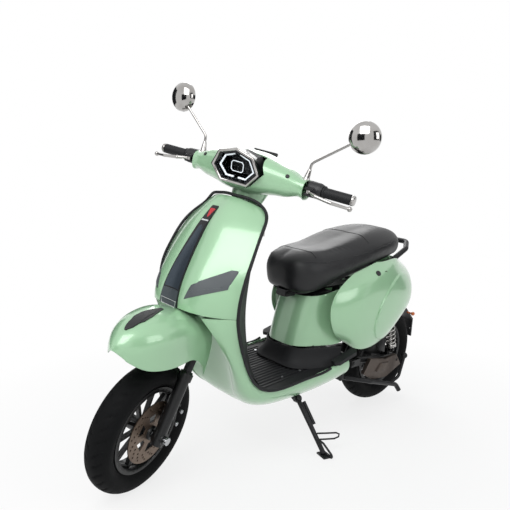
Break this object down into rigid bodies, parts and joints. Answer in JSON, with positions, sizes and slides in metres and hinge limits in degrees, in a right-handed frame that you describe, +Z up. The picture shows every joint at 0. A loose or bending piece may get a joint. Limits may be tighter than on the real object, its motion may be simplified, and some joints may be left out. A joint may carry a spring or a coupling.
{
  "type": "moped scooter",
  "caption": "Step-through moped scooter with leg shield, steered telescopic fork, hinged seat, sprung rear swingarm, mirrors, stands and brake levers.",
  "frame": {"origin": "centre of the bounding box at ground level", "axes": "+Z up, -Y to the front of the scooter, +X to the rider's left; the scooter leans onto its side stand and the handlebar is turned left"},
  "size_m": [0.7434, 1.7174, 1.3335],
  "materials": {
    "paint": "pearl gloss",
    "tyre": "matte",
    "black_alloy": "black satin",
    "disc_steel": "brushed",
    "steel": "satin",
    "black_steel": "satin black",
    "black_plastic": "satin",
    "rubber": "matte",
    "vinyl": "vinyl",
    "chrome": "polished",
    "lens": "clear",
    "amber": "gloss",
    "cover_alloy": "satin"
  },
  "bodies": {
    "chassis": {"main_frame": "black_steel", "leg_shield": "paint", "vent_grilles": "black_plastic", "centre_trim": "black_plastic", "badge_plate": "black_plastic", "inner_shield": "black_plastic", "belly_panels": "paint", "wheel_arch_panel": "paint", "shield_trim": "rubber", "seat_column_cover": "paint", "side_cowl_left": "paint", "side_cowl_right": "paint", "footboard": "rubber", "grab_rail": "black_steel", "battery_pack": "black_plastic", "rear_lamps": "amber", "plate_bracket": "black_plastic"},
    "steering": {"steering_stem": "steel", "fork_stanchions": "steel", "front_fender": "paint", "fender_trim": "black_plastic", "handlebar_tube": "steel", "grip_left": "rubber", "bar_ends": "chrome", "switch_housings": "black_plastic", "headset_cover_front": "paint", "headset_cover_rear": "paint", "headlight_bezel": "chrome", "headlight_lens": "lens", "headlight_unit": "black_plastic", "dash_display": "black_plastic", "mirror_arms": "chrome"},
    "fork_lower": {"fork_sliders": "black_alloy", "front_axle": "steel", "front_caliper": "black_steel"},
    "front_wheel": {"front_rim": "black_alloy", "front_tyre": "tyre", "front_brake_disc": "disc_steel"},
    "lever_left": {"brake_lever_left": "chrome"},
    "lever_right": {"brake_lever_right": "chrome"},
    "throttle": {"throttle_grip": "rubber"},
    "mirror_left": {"mirror_head_left": "chrome"},
    "mirror_right": {"mirror_head_right": "chrome"},
    "turn_slider": {"turn_switch": "black_plastic"},
    "horn": {"horn_button": "black_plastic"},
    "starter": {"start_button": "black_plastic"},
    "seat": {"seat_cushion": "vinyl", "seat_pan": "black_plastic"},
    "swing": {"swingarm": "black_alloy", "drive_cover": "cover_alloy"},
    "rear_wheel": {"rear_rim": "black_alloy", "rear_tyre": "tyre"},
    "shock_upper": {"shock_cylinders": "black_steel"},
    "shock_lower": {"shock_rods": "steel"},
    "stand_side": {"side_stand": "black_steel"},
    "stand_centre": {"centre_stand": "black_steel"},
    "peg_left": {"passenger_peg_left": "rubber"},
    "peg_right": {"passenger_peg_right": "rubber"},
    "key": {"ignition_key": "chrome"},
    "lock": {"seat_lock": "black_plastic"}
  },
  "joints": [
    {"name": "steering_turn", "type": "hinge", "parent": "chassis", "child": "steering", "pos_m": [-0.1367, -0.7079, -0.00144], "axis": [0.0855, 0.4449, 0.8915], "range_deg": [-55, 15]},
    {"name": "fork_slide", "type": "slide", "parent": "steering", "child": "fork_lower", "axis": [0.0855, 0.4449, 0.8915], "range_m": [0, 0.045], "stiffness_N_per_m": 12000, "springref_m": -0.06},
    {"name": "front_wheel_spin", "type": "hinge", "parent": "fork_lower", "child": "front_wheel", "pos_m": [-0.10053, -0.64384, 0.21802], "axis": [0.9208, 0.3064, -0.2412], "continuous": true},
    {"name": "brake_left", "type": "hinge", "parent": "steering", "child": "lever_left", "pos_m": [0.1991, -0.20287, 0.96029], "axis": [0.2463, 0.0227, 0.9689], "range_deg": [0, 8], "stiffness_Nm_per_rad": 1, "springref_deg": -5.73},
    {"name": "brake_right", "type": "hinge", "parent": "steering", "child": "lever_right", "pos_m": [-0.22816, -0.34506, 1.07221], "axis": [-0.2463, -0.0227, -0.9689], "range_deg": [0, 8], "stiffness_Nm_per_rad": 1, "springref_deg": -5.73},
    {"name": "throttle_twist", "type": "hinge", "parent": "steering", "child": "throttle", "pos_m": [-0.02443, -0.23962, 1.02209], "axis": [-0.9208, -0.3064, 0.2412], "range_deg": [0, 70], "stiffness_Nm_per_rad": 0.3, "springref_deg": -5.73},
    {"name": "mirror_left_turn", "type": "hinge", "parent": "steering", "child": "mirror_left", "pos_m": [0.29887, -0.11894, 1.10515], "axis": [0.2463, 0.0227, 0.9689], "range_deg": [-8, 8]},
    {"name": "mirror_right_turn", "type": "hinge", "parent": "steering", "child": "mirror_right", "pos_m": [-0.2806, -0.31178, 1.25694], "axis": [0.2463, 0.0227, 0.9689], "range_deg": [-8, 8]},
    {"name": "turn_signal", "type": "slide", "parent": "steering", "child": "turn_slider", "axis": [0.9208, 0.3064, -0.2412], "range_m": [-0.005, 0.005]},
    {"name": "horn_press", "type": "slide", "parent": "steering", "child": "horn", "axis": [0.3024, -0.9516, -0.0546], "range_m": [0, 0.003], "stiffness_N_per_m": 400, "springref_m": -0.002},
    {"name": "starter_press", "type": "slide", "parent": "steering", "child": "starter", "axis": [0.3024, -0.9516, -0.0546], "range_m": [0, 0.003], "stiffness_N_per_m": 400, "springref_m": -0.002},
    {"name": "seat_open", "type": "hinge", "parent": "chassis", "child": "seat", "pos_m": [-0.08112, -0.02874, 0.57889], "axis": [0.9954, 0.0001, -0.0955], "range_deg": [0, 62]},
    {"name": "swingarm_travel", "type": "hinge", "parent": "chassis", "child": "swing", "pos_m": [-0.11168, 0.31172, 0.26084], "axis": [0.9954, 0.0001, -0.0955], "range_deg": [0, 5], "stiffness_Nm_per_rad": 2600, "springref_deg": -6.88},
    {"name": "rear_wheel_spin", "type": "hinge", "parent": "swing", "child": "rear_wheel", "pos_m": [-0.11541, 0.61178, 0.22246], "axis": [0.9954, 0.0001, -0.0955], "continuous": true},
    {"name": "shock_tilt", "type": "hinge", "parent": "chassis", "child": "shock_upper", "pos_m": [-0.088, 0.51537, 0.50801], "axis": [0.9954, 0.0001, -0.0955], "range_deg": [0, 1.19]},
    {"name": "shock_stroke", "type": "slide", "parent": "shock_upper", "child": "shock_lower", "axis": [0.092, -0.2686, 0.9588], "range_m": [0, 0.0233]},
    {"name": "side_stand_fold", "type": "hinge", "parent": "chassis", "child": "stand_side", "pos_m": [-0.00043, -0.02016, 0.18439], "axis": [0.8097, -0.2016, 0.5512], "range_deg": [0, 61]},
    {"name": "centre_stand_drop", "type": "hinge", "parent": "chassis", "child": "stand_centre", "pos_m": [-0.11799, 0.28182, 0.1951], "axis": [-0.9954, -0.0001, 0.0955], "range_deg": [0, 14]},
    {"name": "peg_left_fold", "type": "hinge", "parent": "chassis", "child": "peg_left", "pos_m": [0.08074, 0.14161, 0.33958], "axis": [-0.0231, -0.9699, -0.2422], "range_deg": [0, 70]},
    {"name": "peg_right_fold", "type": "hinge", "parent": "chassis", "child": "peg_right", "pos_m": [-0.28558, 0.14156, 0.37473], "axis": [0.0231, 0.9699, 0.2422], "range_deg": [0, 70]},
    {"name": "key_turn", "type": "hinge", "parent": "chassis", "child": "key", "pos_m": [0.00428, -0.27708, 0.81947], "axis": [0, 1, 0.0014], "range_deg": [0, 90]},
    {"name": "lock_turn", "type": "hinge", "parent": "chassis", "child": "lock", "pos_m": [0.07526, 0.35918, 0.63879], "axis": [0.9954, 0.0001, -0.0955], "range_deg": [0, 90]}
  ],
  "couplings": [
    {"joint": "shock_tilt", "follows": "swingarm_travel", "ratio": 0.2277},
    {"joint": "shock_stroke", "follows": "swingarm_travel", "m_per_rad": 0.26474}
  ]
}
